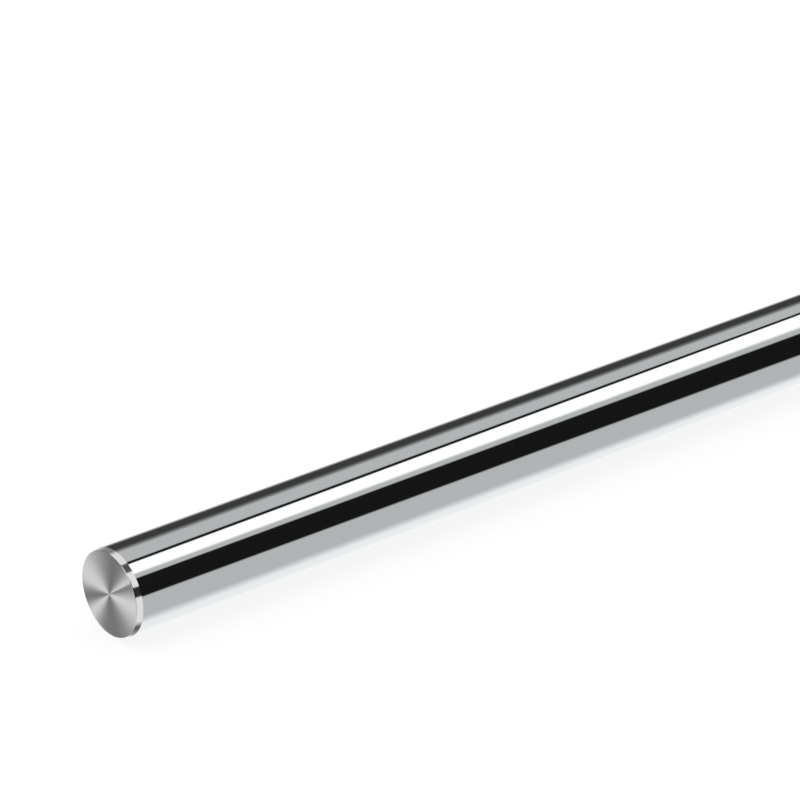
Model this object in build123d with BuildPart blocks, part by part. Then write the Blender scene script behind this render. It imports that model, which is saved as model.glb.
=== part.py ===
from build123d import *
import os

# Linear shaft: a round bar of hardened steel, ground to size and hard-chromed, that a linear
# bushing slides along. It is one solid piece with square, faced ends. Each end has a shallow
# lead-in chamfer, so that a bushing's balls and seals ride up onto the ground diameter
# without being cut, and the corner that the facing cut leaves is broken with a small radius.
#
# The shaft lies along +X. The origin is the centre of its near end face, on the axis.

# Driving dimensions, in millimetres, and the angle in degrees
shaft_diameter = 20.0  # ground outside diameter
shaft_length = 300.0  # from end face to end face
lead_in_length = 1.5  # of each lead-in chamfer, along the shaft
lead_in_angle = 10.0  # between the chamfer and the ground surface
edge_break = 0.15  # radius of the broken corner around each end face

with BuildPart() as shaft:
    # The bar: the near end's circle, drawn at the origin and run out to the full length
    with BuildSketch(Plane.YZ):
        Circle(shaft_diameter / 2)
    extrude(amount=shaft_length)

    # A lead-in chamfer round both ends, its length measured back along the ground surface
    ground_surface = shaft.faces().filter_by(GeomType.CYLINDER)[0]
    end_rims = shaft.edges().filter_by(GeomType.CIRCLE)
    chamfer(end_rims, length=lead_in_length, angle=lead_in_angle, reference=ground_surface)

    # The facing cut's corner, between each end face and its chamfer, is rounded off
    end_faces = shaft.faces().filter_by(GeomType.PLANE)
    fillet(end_faces.edges(), radius=edge_break)

shaft.part.label = "shaft"

os.makedirs("parts", exist_ok=True)
export_step(shaft.part, "parts/shaft.step")

ground_length = shaft_length - 2 * lead_in_length
print(f"shaft {shaft_diameter:g} x {shaft_length:g} mm, ground over {ground_length:g} mm")
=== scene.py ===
# %% [markdown]
# # A ground and hard-chromed linear shaft
# The object is one piece: a bar of hardened steel for linear bushings to run on. Its outside is
# ground round and plated with hard chrome, and its two ends are faced off square in a lathe.
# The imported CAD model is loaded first. It gives the real size and place of everything below,
# and its box is kept, because the finished shaft has to fit it.

# %% Load the CAD model
from math import cos, pi, radians, sin, tan

import bpy
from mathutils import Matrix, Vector


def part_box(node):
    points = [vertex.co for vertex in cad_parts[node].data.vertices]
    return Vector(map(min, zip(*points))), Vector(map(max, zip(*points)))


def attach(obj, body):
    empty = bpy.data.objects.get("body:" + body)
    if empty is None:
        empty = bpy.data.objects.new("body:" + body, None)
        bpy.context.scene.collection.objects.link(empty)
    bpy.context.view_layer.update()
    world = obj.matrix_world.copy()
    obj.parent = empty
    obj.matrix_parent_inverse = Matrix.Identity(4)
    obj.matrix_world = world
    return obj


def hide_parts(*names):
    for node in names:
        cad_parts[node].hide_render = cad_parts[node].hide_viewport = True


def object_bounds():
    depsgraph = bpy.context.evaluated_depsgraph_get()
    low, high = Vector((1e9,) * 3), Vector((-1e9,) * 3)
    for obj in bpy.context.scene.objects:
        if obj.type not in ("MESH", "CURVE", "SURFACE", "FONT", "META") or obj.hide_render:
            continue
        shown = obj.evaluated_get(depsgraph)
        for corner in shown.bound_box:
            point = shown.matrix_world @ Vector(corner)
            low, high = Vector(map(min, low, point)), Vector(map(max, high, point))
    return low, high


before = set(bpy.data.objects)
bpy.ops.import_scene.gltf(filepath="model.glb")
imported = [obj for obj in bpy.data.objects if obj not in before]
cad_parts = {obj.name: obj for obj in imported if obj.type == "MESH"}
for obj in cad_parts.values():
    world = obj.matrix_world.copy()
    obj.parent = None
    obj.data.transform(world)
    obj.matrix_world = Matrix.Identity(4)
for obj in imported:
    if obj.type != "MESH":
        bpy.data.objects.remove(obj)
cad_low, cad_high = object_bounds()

print("CAD nodes:", sorted(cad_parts), "in a box from", tuple(cad_low), "to", tuple(cad_high))

# %% [markdown]
# ## Sizes
# The length and the diameter are read from the CAD node, so the shaft drawn here always fits
# it. The lead-in chamfer and the broken edge are too small to read from a box, so their sizes
# are written again. The facing tool's feed marks are a few thousandths of a millimetre deep,
# too fine for the CAD model, so their depth is set here. Everything is in metres.

# %% Sizes of the shaft
MM = 0.001
node_low, node_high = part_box("shaft")
shaft_length = node_high.x - node_low.x
shaft_radius = (node_high.y - node_low.y) / 2
lead_in_length = 1.5 * MM
lead_in_angle = radians(10)
edge_break = 0.15 * MM
feed_depth = 0.004 * MM
print(f"shaft {2 * shaft_radius / MM:.2f} mm across and {shaft_length / MM:.1f} mm long")

# %% [markdown]
# ## Sums that build nodes
# A shape or a finish that follows a rule is a sum, and it reads best when it is written as one.
# `Wire` wraps an output of a node, and Python's own `+ - * /` on wires add the Math nodes.
# `Graph.node` adds any other kind of node. The same two classes serve the shaft's shape, its
# finishes and the studio round it.

# %% Wires
class Wire:
    """One output of a node, which Python's operators join to others through Math nodes."""

    def __init__(self, graph, made, socket):
        self.graph, self.made, self.socket = graph, made, socket

    def __getitem__(self, output):
        return Wire(self.graph, self.made, self.made.outputs[output])

    def maths(self, operation, *others, clamp=False):
        return self.graph.maths(operation, self, *others, clamp=clamp)

    def __add__(self, other):
        return self.maths("ADD", other)

    def __sub__(self, other):
        return self.maths("SUBTRACT", other)

    def __rsub__(self, other):
        return self.graph.maths("SUBTRACT", other, self)

    def __mul__(self, other):
        return self.maths("MULTIPLY", other)

    def __truediv__(self, other):
        return self.maths("DIVIDE", other)

    __radd__, __rmul__ = __add__, __mul__

    def spread(self, low, high):
        """low where the wire is 0, high where it is 1, and evenly between them."""
        return low + self * (high - low)

    def ramp(self, start, end):
        """0 where the wire is start or less, 1 where it is end or more, and evenly between."""
        return (self - start).maths("DIVIDE", end - start, clamp=True)

    def between(self, low, high):
        """The wire, kept from going under low or over high."""
        return self.maths("MAXIMUM", low).maths("MINIMUM", high)


# %% Graphs
class Graph:
    """A node tree that code fills."""

    def __init__(self, tree):
        self.tree = tree

    def node(self, kind, settings=None, values=None, out=0):
        """Adds a node: first its settings, then a value or a wire for each input it names."""
        made = self.tree.nodes.new(kind)
        for name, setting in (settings or {}).items():
            if name == "stops":
                self.set_stops(made.color_ramp, setting)
            else:
                setattr(made, name, setting)
        for name, value in (values or {}).items():
            if isinstance(value, Wire):
                self.tree.links.new(value.socket, made.inputs[name])
            else:
                made.inputs[name].default_value = value
        return Wire(self, made, made.outputs[out]) if len(made.outputs) else made

    def set_stops(self, ramp, stops):
        """Gives a colour ramp its stops, each a place from 0 to 1 and a grey."""
        while len(ramp.elements) > 1:
            ramp.elements.remove(ramp.elements[-1])
        for index, (place, grey) in enumerate(stops):
            stop = ramp.elements[0] if index == 0 else ramp.elements.new(place)
            stop.position, stop.color = place, (grey, grey, grey, 1)

    def maths(self, operation, *values, clamp=False):
        settings = {"operation": operation, "use_clamp": clamp}
        return self.node("ShaderNodeMath", settings, dict(enumerate(values)))

    def vector(self, operation, *values, out=0):
        settings = {"operation": operation}
        return self.node("ShaderNodeVectorMath", settings, dict(enumerate(values)), out)

    def dot(self, first, second):
        return self.vector("DOT_PRODUCT", first, second, out="Value")

    def blend(self, share, first, second):
        """The first colour where share is 0, and the second where it is 1."""
        values = {"Factor": share, "A": first, "B": second}
        return self.node("ShaderNodeMix", {"data_type": "RGBA"}, values, out=2)


# %% [markdown]
# ## The shaft's node tree
# Every surface of the real shaft is turned or ground about one axis. A Screw modifier could
# carry a drawn outline round it, but this outline is a rule, so Geometry Nodes make the shaft,
# with its sizes and its three finishes as named inputs. They start from a flat grid that counts
# stations along the outline one way and steps round the axis the other way. Each point keeps
# its counts, and then the grid is rolled up.

# %% The tree and its inputs
sizes = {
    "Length": shaft_length,
    "Radius": shaft_radius,
    "Lead-in length": lead_in_length,
    "Lead-in angle": lead_in_angle,
    "Edge break": edge_break,
    "Feed depth": feed_depth,
}
tree = bpy.data.node_groups.new("turned_shaft", "GeometryNodeTree")
tree.interface.new_socket("Geometry", in_out="INPUT", socket_type="NodeSocketGeometry")
for name in sizes:
    tree.interface.new_socket(name, in_out="INPUT", socket_type="NodeSocketFloat")
for name in ("Ground finish", "Chamfer finish", "Face finish"):
    tree.interface.new_socket(name, in_out="INPUT", socket_type="NodeSocketMaterial")
tree.interface.new_socket("Geometry", in_out="OUTPUT", socket_type="NodeSocketGeometry")
graph = Graph(tree)
given = graph.node("NodeGroupInput")
print("inputs:", [item.name for item in tree.interface.items_tree if item.in_out == "INPUT"])

# %% Stations along the outline
feed_rings = 40
stations_per_ring = 4
round_stations = 6

face_stations = feed_rings * stations_per_ring
chamfer_start = face_stations + round_stations
shoulder = chamfer_start + 3  # the station where the chamfer meets the ground surface
middle = shoulder + 2
print(f"{middle} stations from the middle of the end to the middle of the shaft")

# %% A flat grid that counts
steps_round = 192
last_station = 2 * middle
grid_counts = {"Vertices X": last_station + 1, "Vertices Y": steps_round + 1}
grid = graph.node("GeometryNodeMeshGrid", values={"Size X": 1, "Size Y": 1, **grid_counts})
flat = graph.node("ShaderNodeSeparateXYZ", values={0: graph.node("GeometryNodeInputPosition")})
counted = ((flat["X"] + 0.5) * last_station).maths("ROUND")
kept = graph.node("GeometryNodeCaptureAttribute", values={"Geometry": grid["Mesh"]})
for name, wire in (
    ("Station", counted.maths("MINIMUM", last_station - counted)),
    ("Far half", counted.maths("GREATER_THAN", middle)),
    ("Turn", (flat["Y"] + 0.5) * (2 * pi)),
):
    kept.made.capture_items.new("FLOAT", name)
    tree.links.new(wire.socket, kept.made.inputs[name])
station, on_far_half, turn = kept["Station"], kept["Far half"], kept["Turn"]
print("a grid of", last_station, "by", steps_round, "faces")

# %% [markdown]
# ## The outline as a rule
# The outline starts at the middle of the near end. It runs over the faced end, round the broken
# corner, up the lead-in chamfer and along the ground surface. The feed marks are real relief,
# with four stations to each ring, and each edge has an extra station beside it, so that smooth
# shading leaves it crisp. Only the near half is worked out, and the far half is its mirror
# image.

# %% The broken corner
# its round touches both the face and the chamfer, and so it sets where the two of them end
slope = given["Lead-in angle"].maths("TANGENT")
round_turn = pi / 2 - given["Lead-in angle"]
round_length = given["Edge break"] * (1 - round_turn.maths("COSINE"))
round_step = given["Edge break"] * (round_turn / 2).maths("TANGENT")
chamfer_length = given["Lead-in length"] - round_length
face_radius = given["Radius"] - given["Lead-in length"] * slope - round_step
print("the broken corner brings the tree to", len(tree.nodes), "nodes")

# %% The feed marks and the straight runs
wave = (station * (2 * pi / stations_per_ring)).maths("COSINE")
short_of_rim = 1 - station.ramp(face_stations - 1, face_stations)
groove = (1 - wave) / 2 * given["Feed depth"] * short_of_rim

# each straight run adds its own length as the station passes along it
beside = 0.06 * MM  # from an edge to its extra station
along_chamfer = (
    station.ramp(chamfer_start, chamfer_start + 1) * beside
    + station.ramp(chamfer_start + 1, chamfer_start + 2) * (chamfer_length - 2 * beside)
    + station.ramp(chamfer_start + 2, shoulder) * beside
)
half_ground = given["Length"] / 2 - given["Lead-in length"]
along_ground = (
    station.ramp(shoulder, shoulder + 1) * beside
    + station.ramp(shoulder + 1, middle) * (half_ground - beside)
)
print("the feed marks and the runs bring it to", len(tree.nodes), "nodes")

# %% Roll the grid up
turned = station.ramp(face_stations, chamfer_start) * round_turn
past_corner = (1 - turned.maths("COSINE")) * given["Edge break"]
near_along = groove + past_corner + along_chamfer + along_ground
out = (
    station.ramp(0, face_stations) * face_radius
    + turned.maths("SINE") * given["Edge break"]
    + along_chamfer * slope
)
out = out.maths("MINIMUM", given["Radius"])  # or rounding puts it out by a millionth of a mm
along = on_far_half.spread(near_along, given["Length"] - near_along)
rolled = graph.node(
    "ShaderNodeCombineXYZ",
    values={"X": along, "Y": out * turn.maths("SINE"), "Z": out * turn.maths("COSINE") * -1},
)
shaft = graph.node(
    "GeometryNodeSetPosition", values={"Geometry": kept["Geometry"], "Position": rolled}
)
print("the rolled grid brings it to", len(tree.nodes), "nodes")

# %% [markdown]
# ## Where each surface lies on the baked map
# A game engine or a web viewer shows the finishes from one square picture. The ends carry the
# finest marks, so they get the most room: each end is a disc, with its chamfer as the outer
# ring. The ground surface is unrolled into a strip over both of them. An unwrapping tool would
# cut and turn the pieces anew each time, but a rule puts them where a painter can find them.

# %% The discs
disc_size = 0.235  # of the map's side, from a disc's middle to its rim
near_disc_u, far_disc_u, disc_v_middle = 0.25, 0.75, 0.25

round_width = given["Edge break"] * round_turn
shortening = given["Lead-in angle"].maths("COSINE")  # of the chamfer, measured along the shaft
unrolled = (
    station.ramp(0, face_stations) * face_radius
    + station.ramp(face_stations, chamfer_start) * round_width
    + along_chamfer / shortening
)
disc_radius = face_radius + round_width + chamfer_length / shortening
on_disc = unrolled / disc_radius * disc_size
# the far end is seen from the other side, so its disc turns the other way
side = on_far_half.spread(1, -1)
disc_u = on_far_half.spread(near_disc_u, far_disc_u) - on_disc * turn.maths("SINE") * side
disc_v = disc_v_middle - on_disc * turn.maths("COSINE")
print("the discs bring it to", len(tree.nodes), "nodes")

# %% The strip
strip_start, strip_end = 0.01, 0.99
strip_low, strip_high = 0.51, 0.99
strip_u = (along / given["Length"]).spread(strip_start, strip_end)
strip_v = (turn / (2 * pi)).spread(strip_high, strip_low)
# a corner where two surfaces meet has one place for each, so the face that it belongs to chooses
of_face = {"data_type": "FLOAT", "domain": "FACE"}
on_strip = graph.node("GeometryNodeFieldOnDomain", of_face, {0: station})
on_strip = on_strip.maths("GREATER_THAN", shoulder)
on_map = graph.node(
    "ShaderNodeCombineXYZ",
    values={"X": on_strip.spread(disc_u, strip_u), "Y": on_strip.spread(disc_v, strip_v)},
)
shaft = graph.node(
    "GeometryNodeStoreNamedAttribute",
    {"data_type": "FLOAT2", "domain": "CORNER"},
    {"Geometry": shaft, "Name": "OFBake", "Value": on_map},
)
print("the strip brings it to", len(tree.nodes), "nodes")

# %% Close the shaft and give it its finishes
weld_reach = 0.0005 * MM
# the grid rolls up with its upper side inwards, so its faces are turned to look outwards
shaft = graph.node("GeometryNodeFlipFaces", values={"Mesh": shaft})
# the seam and the middles of both ends close where points meet
shaft = graph.node(
    "GeometryNodeMergeByDistance", values={"Geometry": shaft, "Distance": weld_reach}
)
shaft = graph.node("GeometryNodeSetShadeSmooth", values={"Geometry": shaft})
shaft = graph.node("GeometryNodeRealizeInstances", values={"Geometry": shaft})
for finish, up_to in (
    ("Ground finish", middle + 1), ("Chamfer finish", shoulder), ("Face finish", face_stations)
):
    # a face's own station is half-way between those of its corners
    covered = station.maths("LESS_THAN", up_to)
    values = {"Geometry": shaft, "Selection": covered, "Material": given[finish]}
    shaft = graph.node("GeometryNodeSetMaterial", values=values)
graph.node("NodeGroupOutput", values={"Geometry": shaft})
print("the tree has", len(tree.nodes), "nodes in all")

# %% [markdown]
# ## Hard chrome
# The ground surface is plated with hard chrome a few hundredths of a millimetre thick and
# polished, which leaves it nearly a mirror. Its lay runs round the shaft, as the grinding wheel
# went, so everything that varies on it varies along the shaft: a little in gloss and, less
# than can be felt, in height. A metal has no colour but that of its reflections, which hard
# chrome makes a little cool. A picture of chrome would freeze the room into the part, so the
# finish is worked out from where a point lies on the shaft.

# %% Shared parts of the finishes
def new_finish(name):
    """An empty material and the graph that fills it."""
    material = bpy.data.materials.new(name)
    material.use_nodes = True
    material.node_tree.nodes.clear()
    return material, Graph(material.node_tree)


def along_shaft(graph):
    """How far along the shaft a point is."""
    place = graph.node("ShaderNodeTexCoord", out="Object")
    return graph.node("ShaderNodeSeparateXYZ", values={0: place})["X"]


def metal(graph, colour, roughness, normal):
    """Ends a finish in one metal shader."""
    values = {"Base Color": colour, "Metallic": 1.0, "Roughness": roughness, "Normal": normal}
    shader = graph.node("ShaderNodeBsdfPrincipled", values=values)
    graph.node("ShaderNodeOutputMaterial", values={"Surface": shader})


# %% Hard chrome
chrome = (0.775, 0.80, 0.808, 1)
polished, hazed = 0.02, 0.02  # the chrome's roughness, and what each pattern adds to it at most
grinding_lay, wheel_pass = 1.6 * MM, 23 * MM
lay_height = 0.0004 * MM

ground_hard_chrome, graph = new_finish("ground_hard_chrome")
place_along = along_shaft(graph)
lay = graph.node(
    "ShaderNodeTexNoise",
    {"noise_dimensions": "1D"},
    {"W": place_along / grinding_lay, "Detail": 4.0, "Roughness": 0.65},
)
passes = graph.node(
    "ShaderNodeTexNoise",
    {"noise_dimensions": "1D"},
    {"W": place_along / wheel_pass, "Detail": 1.0},
)
relief = graph.node(
    "ShaderNodeBump", values={"Strength": 1.0, "Distance": lay_height, "Height": lay}
)
metal(graph, colour=chrome, roughness=polished + (lay + passes) * hazed, normal=relief)
print(ground_hard_chrome.name, "has", len(graph.tree.nodes), "nodes")

# %% [markdown]
# ## Turned steel
# The shaft is cut from long plated stock, so its chamfers and ends are bare steel, turned and
# lightly polished. Every turn of the tool leaves a fine ring, and the steel leans another way
# on each. A Bump node could draw the rings, but they are finer than a pixel, where it gives
# only a grain. So the normal is tilted instead, by another angle on each ring.

# %% Fine rings
ring_pitch = 0.12 * MM


def fine_rings(graph, place):
    """A number from 0 to 1 that is another one on each fine ring."""
    ring = (place / ring_pitch).maths("FLOOR")
    return graph.node("ShaderNodeTexWhiteNoise", {"noise_dimensions": "1D"}, {"W": ring})


def lean_over(graph, direction, lean):
    """The surface's normal, leant over in a direction."""
    facing = graph.node("ShaderNodeNewGeometry", out="Normal")
    leaning = graph.node(
        "ShaderNodeVectorMath", {"operation": "SCALE"}, {0: direction, "Scale": lean}
    )
    return graph.vector("NORMALIZE", graph.vector("ADD", facing, leaning))


print(f"a fine ring every {ring_pitch / MM:.2f} mm")

# %% Turned chamfer
steel = 0.70  # how much light bare steel gives back
chamfer_lean = tan(radians(1.5))
chamfer_roughness = (0.05, 0.10)

turned_chamfer, graph = new_finish("turned_chamfer")
rings = fine_rings(graph, along_shaft(graph))
metal(
    graph,
    colour=(steel, steel, steel, 1),
    roughness=rings.spread(*chamfer_roughness),
    normal=lean_over(graph, (1, 0, 0), rings.spread(-chamfer_lean, chamfer_lean)),
)
print(turned_chamfer.name, "has", len(graph.tree.nodes), "nodes")

# %% [markdown]
# ## Faced end
# A faced end flashes in fans that run from its middle to its rim. On each ring the steel leans
# outwards, so every place on the end mirrors a different part of the room, depending on which
# way is outwards there. An anisotropic shader could smear the light round the rings, but it
# goes by a tangent, which the exported model wouldn't keep. Leaning normals are kept, and they
# do most of the work. Part of the fans' contrast is a painted reflection: light and dark wedges
# painted into the steel's base colour, because a room that is evenly lit would otherwise leave
# the end blank.

# %% The fans' tones
# each stop: degrees round the end from its front side, upwards first, and the grey there
fans = (
    (0, 0.92), (8, 0.88), (20, 0.55), (32, 0.24), (35, 0.25), (38, 0.98), (43, 0.86), (50, 0.58),
    (62, 0.30), (80, 0.22), (100, 0.32), (120, 0.48), (145, 0.74), (165, 0.88), (183, 0.86),
    (200, 0.26), (207, 0.22), (212, 0.34), (221, 0.86), (229, 0.88), (237, 0.60), (245, 0.38),
    (256, 0.27), (264, 0.24), (285, 0.24), (310, 0.36), (335, 0.68), (350, 0.84), (360, 0.92),
)
# the steel's base colour holds this share of each step from the middle grey as a painted
# reflection, and the room holds the rest
fans_middle, painted_reflection_share = 0.5, 0.4
painted = [(at, steel * (grey / fans_middle) ** painted_reflection_share) for at, grey in fans]
hung = [(at, fans_middle * (grey / fans_middle) ** (1 - painted_reflection_share)) for at, grey in fans]
painted_reflection_greys = [grey for at, grey in painted]
# the range of the painted reflection in the faced end's base colour
print(f"the steel's tone goes from {min(painted_reflection_greys):.2f} to {max(painted_reflection_greys):.2f}")

# %% Tones by angle
def angle_ramp(graph, angle, start, stops):
    """A ramp once round from a start angle, through its stops of degrees and grey."""
    places = [((at - start) / 360, grey) for at, grey in stops]
    place = (angle - radians(start)) / (2 * pi)
    return graph.node("ShaderNodeValToRGB", {"stops": places}, {"Fac": place})


def full_turn(up, aside):
    """The angle of a direction, from 0 to a full turn."""
    angle = up.maths("ARCTAN2", aside)
    return angle + angle.maths("LESS_THAN", 0) * (2 * pi)


# %% Faced end
least_lean, most_lean = tan(radians(5)), tan(radians(11))
face_roughness = (0.07, 0.11)

faced_end, graph = new_finish("faced_end")
spoke = graph.vector("MULTIPLY", graph.node("ShaderNodeTexCoord", out="Object"), (0, 1, 1))
outwards = graph.vector("NORMALIZE", spoke)
rings = fine_rings(graph, graph.vector("LENGTH", spoke, out="Value"))
part = graph.node("ShaderNodeSeparateXYZ", values={0: outwards})
metal(
    graph,
    # the base colour is a painted reflection: the fans' light and dark wedges, by angle round the
    # end
    colour=angle_ramp(graph, full_turn(part["Z"], part["Y"] * -1), 0, painted),
    roughness=rings.spread(*face_roughness),
    normal=lean_over(graph, outwards, rings.spread(least_lean, most_lean)),
)
print(faced_end.name, "has", len(graph.tree.nodes), "nodes")

# %% [markdown]
# ## Make the shaft
# The tree runs as a modifier on an empty object. Its inputs are set by their identifiers, the
# result is copied into a plain mesh, and the object with the modifier goes, so that what is
# left is an ordinary mesh that any program can read.

# %% Run the tree
rule_object = bpy.data.objects.new("shaft_rule", bpy.data.meshes.new("shaft_rule"))
bpy.context.collection.objects.link(rule_object)
modifier = rule_object.modifiers.new("turned_shaft", "NODES")
modifier.node_group = tree
chosen = {
    **sizes,
    "Ground finish": ground_hard_chrome,
    "Chamfer finish": turned_chamfer,
    "Face finish": faced_end,
}
for item in tree.interface.items_tree:
    if item.in_out == "INPUT" and item.name in chosen:
        modifier[item.identifier] = chosen[item.name]

evaluated = rule_object.evaluated_get(bpy.context.evaluated_depsgraph_get())
shaft_mesh = bpy.data.meshes.new_from_object(evaluated)
bpy.data.objects.remove(rule_object)
shaft_mesh.name = "linear_shaft"
shaft_mesh.materials.pop(index=0)  # the grid's own slot, which is empty
triangles = sum(len(polygon.vertices) - 2 for polygon in shaft_mesh.polygons)
print(triangles, "triangles in", [material.name for material in shaft_mesh.materials])

# %% Put it in the CAD model's place
linear_shaft = bpy.data.objects.new("linear_shaft", shaft_mesh)
bpy.context.collection.objects.link(linear_shaft)
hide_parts("shaft")
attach(linear_shaft, "root")

face_slot = shaft_mesh.materials.find(faced_end.name)
face_corners = {
    corner
    for polygon in shaft_mesh.polygons if polygon.material_index == face_slot
    for corner in polygon.vertices
}
rim = max(shaft_mesh.vertices[corner].co.yz.length for corner in face_corners)
print(f"faces {2 * rim / MM:.2f} mm across, with a feed ring every {rim / feed_rings / MM:.2f} mm")

# %% [markdown]
# ## The camera
# The photograph looks down on the shaft from the front and a little past its near end, through
# a long lens. A camera could be moved by hand until the outlines meet, but where the near end
# is in the picture, and how large, fixes its place exactly.

# %% Which way the camera looks
camera_turn = radians(-39.4)
camera_height = radians(25.7)
back = Vector((
    sin(camera_turn) * cos(camera_height),
    -cos(camera_turn) * cos(camera_height),
    sin(camera_height),
))
picture_side, lens_in_pixels = 800, 4800
camera_data = bpy.data.cameras.new("camera")
camera_data.sensor_width = 36
camera_data.lens = camera_data.sensor_width * lens_in_pixels / picture_side
camera = bpy.data.objects.new("camera", camera_data)
bpy.context.collection.objects.link(camera)
camera.rotation_mode = "QUATERNION"
camera.rotation_quaternion = back.to_track_quat("Z", "Y")
bpy.context.scene.camera = camera
print(f"a {camera_data.lens:.0f} mm lens")

# %% Where the camera stands
near_end_seen_at = Vector((109.2, 594.3))  # pixels from the picture's upper left corner
radius_seen = 47.25  # pixels
picture_right = camera.rotation_quaternion @ Vector((1, 0, 0))
picture_up = camera.rotation_quaternion @ Vector((0, 1, 0))
metres_per_pixel = shaft_radius / radius_seen
aside = (picture_side / 2 - near_end_seen_at.x) * metres_per_pixel
above = (near_end_seen_at.y - picture_side / 2) * metres_per_pixel
distance = lens_in_pixels * metres_per_pixel
camera.location = back * distance + picture_right * aside + picture_up * above
print(f"camera {camera.location.length:.3f} m from the near end")

# %% [markdown]
# ## The studio that the metal mirrors
# Polished metal has no look of its own: it shows the room. For such a picture boards are hung
# along the shaft, and each becomes a stripe: a black one for the deep band, white ones for the
# lights, and a narrow dark gap beside one of them for the fine line. The chamfers lean, so
# they mirror another part of the room, nearer to straight out from the shaft, and a second set
# of boards hangs there. Boards could be modelled as lit planes, but from far off a mirror shows
# only their directions. So they are painted on the world, by the angle round the shaft, and
# only mirrors see them. The camera sees plain white, and the floor plain soft light.

# %% Boards round the shaft
seam = -147  # degrees: where the ramps start and end
light_floor, grey_board, white_board, dark_room = 1.02, 0.565, 1.3, 0.05
black_board, dark_gap = 0.009, 0.01
# each stop: degrees above the horizon as seen from the shaft's front side, and the grey there
boards_along = (
    (-147, light_floor), (-82, light_floor), (-58, grey_board), (-6, grey_board),
    (-2, black_board), (46, black_board), (48, grey_board), (57, grey_board),
    (63, white_board), (90, white_board), (92, dark_gap), (98, dark_gap), (100, grey_board),
    (130, grey_board), (141, 0.16), (149, dark_room), (178, dark_room), (200, 0.75),
    (213, light_floor),
)
boards_across = (
    (-147, 0.90), (-123, 0.56), (-104, 0.36), (-88, 0.17), (-77, 0.15), (-60, 1.02), (2, 1.02),
    (5, 0.03), (26, 0.03), (29, 1.06), (63.5, 1.06), (66.5, 0.11), (87, 0.11), (90, 1.02),
    (125, 1.02), (138, 0.29), (160, 0.30), (172, 0.42), (188, 0.80), (213, 0.90),
)
print(len(boards_along), "stops along the shaft and", len(boards_across), "across it")

# %% Directions in the room
world = bpy.data.worlds.new("studio")
bpy.context.scene.world = world
world.use_nodes = True
world.node_tree.nodes.clear()
graph = Graph(world.node_tree)
towards = graph.node("ShaderNodeTexCoord", out="Generated")
part = graph.node("ShaderNodeSeparateXYZ", values={0: towards})
# the angle of a direction round the shaft
raised = part["Z"].maths("ARCTAN2", part["Y"] * -1)
raised = raised + raised.maths("LESS_THAN", radians(seam)) * (2 * pi)
# how far it goes towards an end for each step away from the axis
off_axis = (part["Y"] * part["Y"] + part["Z"] * part["Z"]).maths("SQRT")
endwards = (part["X"] / off_axis).maths("ABSOLUTE")
print("directions take", len(graph.tree.nodes), "nodes")

# %% The boards along the shaft
# they aren't quite parallel to it: the ones overhead and the ones below spread apart
spread_from, spread_to, parallel_at = 0.55, 0.85, 0.7  # how far endwards
spread_overhead = radians(50)
spread_below = 0.75 * spread_overhead
overhead = raised.ramp(radians(46), radians(90)) * (1 - raised.ramp(radians(100), radians(130)))
below = 1 - raised.ramp(radians(-10), radians(40))
out_of_line = endwards.between(spread_from, spread_to) - parallel_at
shifted = raised - out_of_line * (overhead * spread_overhead - below * spread_below)
along_tone = angle_ramp(graph, shifted, seam, boards_along)
print("the boards along the shaft bring it to", len(graph.tree.nodes), "nodes")

# %% The boards across it
across_begin, across_end = (0.12, 0.15), (0.50, 0.56)  # how far endwards
seen_by_chamfers = endwards.ramp(*across_begin) * (1 - endwards.ramp(*across_end))
across_tone = angle_ramp(graph, raised, seam, boards_across)
panorama = graph.blend(seen_by_chamfers, along_tone, across_tone)

# off both ends, where the boards run together, half of the light is an even grey
even_grey, even_share = (0.6, 0.6, 0.6, 1), 0.5
off_the_ends = endwards.ramp(1.2, 2.4)
panorama = graph.blend(off_the_ends * even_share, panorama, even_grey)
print("the boards across it bring it to", len(graph.tree.nodes), "nodes")

# %% [markdown]
# ## Fans on the faced end
# The end mirrors one direction at its middle, and directions all round that one where its
# rings lean. So the fans are wedges of light and dark round that one direction, as the gaps
# between tilted boards would make them. The direction follows from the camera's place.

# %% What the end mirrors
end_facing = Vector((-1, 0, 0))
to_camera = camera.location.normalized()
mirrored = 2 * end_facing.dot(to_camera) * end_facing - to_camera


def mirrored_by(lean):
    """How the mirrored direction moves as the end's surface leans a little."""
    return lean.dot(to_camera) * end_facing + end_facing.dot(to_camera) * lean


aside_move, up_move = mirrored_by(Vector((0, -1, 0))), mirrored_by(Vector((0, 0, 1)))
# these two read off how much of each move a direction holds
reads_aside = up_move.cross(mirrored) / aside_move.dot(up_move.cross(mirrored))
reads_up = aside_move.cross(mirrored) / up_move.dot(aside_move.cross(mirrored))
print("the end mirrors the direction", tuple(round(value, 3) for value in mirrored))

# %% Hang the wedges
wedges_end, wedges_full = cos(radians(30)), cos(radians(25))
wedge = full_turn(graph.dot(towards, reads_up), graph.dot(towards, reads_aside))
wedge_tone = angle_ramp(graph, wedge, 0, hung)
nearness = graph.dot(towards, mirrored).ramp(wedges_end, wedges_full)
panorama = graph.blend(nearness, panorama, wedge_tone)
print("the wedges bring it to", len(graph.tree.nodes), "nodes")

# %% What each kind of ray sees
soft_light = (0.8, 0.8, 0.8, 1)
white = (1, 1, 1, 1)
rays = graph.node("ShaderNodeLightPath")
mirrors = rays["Is Glossy Ray"].maths("MAXIMUM", rays["Is Transmission Ray"])
room = graph.blend(mirrors, soft_light, panorama)
room = graph.blend(rays["Is Camera Ray"], room, white)
background = graph.node("ShaderNodeBackground", values={"Color": room, "Strength": 1.0})
graph.node("ShaderNodeOutputWorld", values={"Surface": background})
print("the studio has", len(graph.tree.nodes), "nodes")

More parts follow.
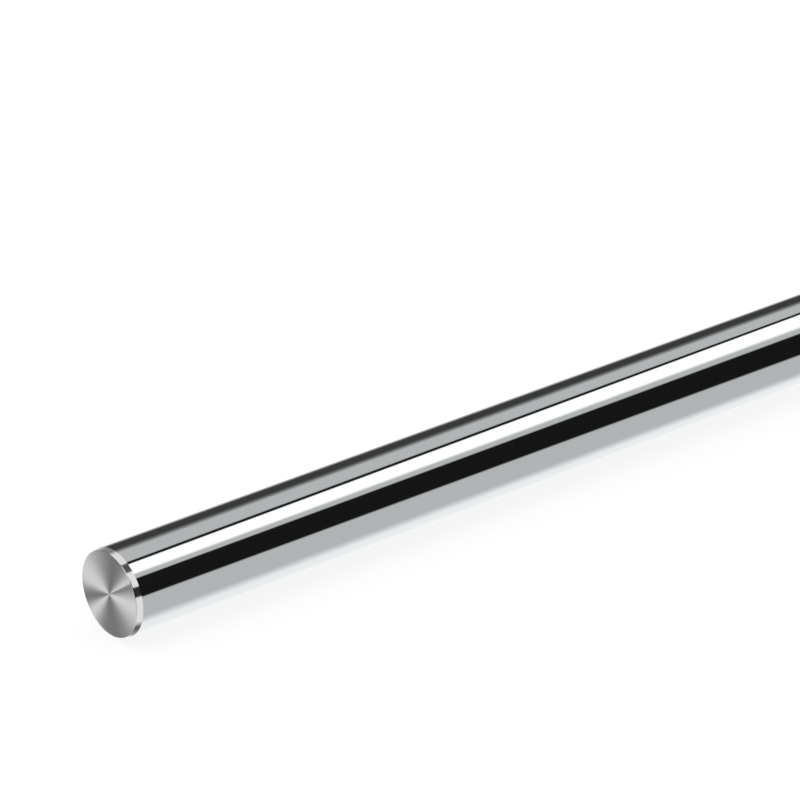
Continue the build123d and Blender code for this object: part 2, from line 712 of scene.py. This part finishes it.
# %% [markdown]
# ## Floor and lamp
# The shaft lies on a plain pale floor under one large soft lamp. More light would make the
# floor white, but would bleach whatever lies on it. So the floor gives most of its white by
# itself, and only to the camera, and still keeps a soft shadow under the shaft. The metal shows
# the painted boards instead of the floor.

# %% Floor
floor_reach = 6
floor_mesh = bpy.data.meshes.new("floor")
corners = [(x, y, -shaft_radius) for x, y in ((-1, -1), (1, -1), (1, 1), (-1, 1))]
corners = [(floor_reach * x, floor_reach * y, z) for x, y, z in corners]
floor_mesh.from_pydata(corners, [], [(0, 1, 2, 3)])
floor = bpy.data.objects.new("floor", floor_mesh)
bpy.context.collection.objects.link(floor)
floor.visible_glossy = False
print(f"floor {2 * floor_reach} m square, {shaft_radius / MM:.0f} mm under the shaft's axis")

# %% White floor
paper_grey, glow_for_camera = (0.22, 0.22, 0.22, 1), 0.81

white_floor, graph = new_finish("white_floor")
rays = graph.node("ShaderNodeLightPath")
paper = graph.node("ShaderNodeBsdfDiffuse", values={"Color": paper_grey})
glow = rays["Is Camera Ray"] * glow_for_camera
own_white = graph.node("ShaderNodeEmission", values={"Color": white, "Strength": glow})
both = graph.node("ShaderNodeAddShader", values={0: paper, 1: own_white})
graph.node("ShaderNodeOutputMaterial", values={"Surface": both})
floor_mesh.materials.append(white_floor)
print(white_floor.name, "has", len(graph.tree.nodes), "nodes")

# %% Lamp
lamp = bpy.data.lights.new("softbox", "AREA")
lamp.shape, lamp.size, lamp.size_y = "RECTANGLE", 1.5, 1.5
lamp.energy = 6  # watts
softbox = bpy.data.objects.new("softbox", lamp)
bpy.context.collection.objects.link(softbox)
softbox.location = (-0.2, 0.3, 1.6)
softbox.rotation_mode = "QUATERNION"
softbox.rotation_quaternion = softbox.location.to_track_quat("Z", "Y")
softbox.visible_glossy = False
print(f"softbox {lamp.size} m wide, {softbox.location.length:.2f} m away")

# %% [markdown]
# ## Last settings
# The Standard view shows each colour as it is written.

bpy.context.scene.view_settings.view_transform = "Standard"
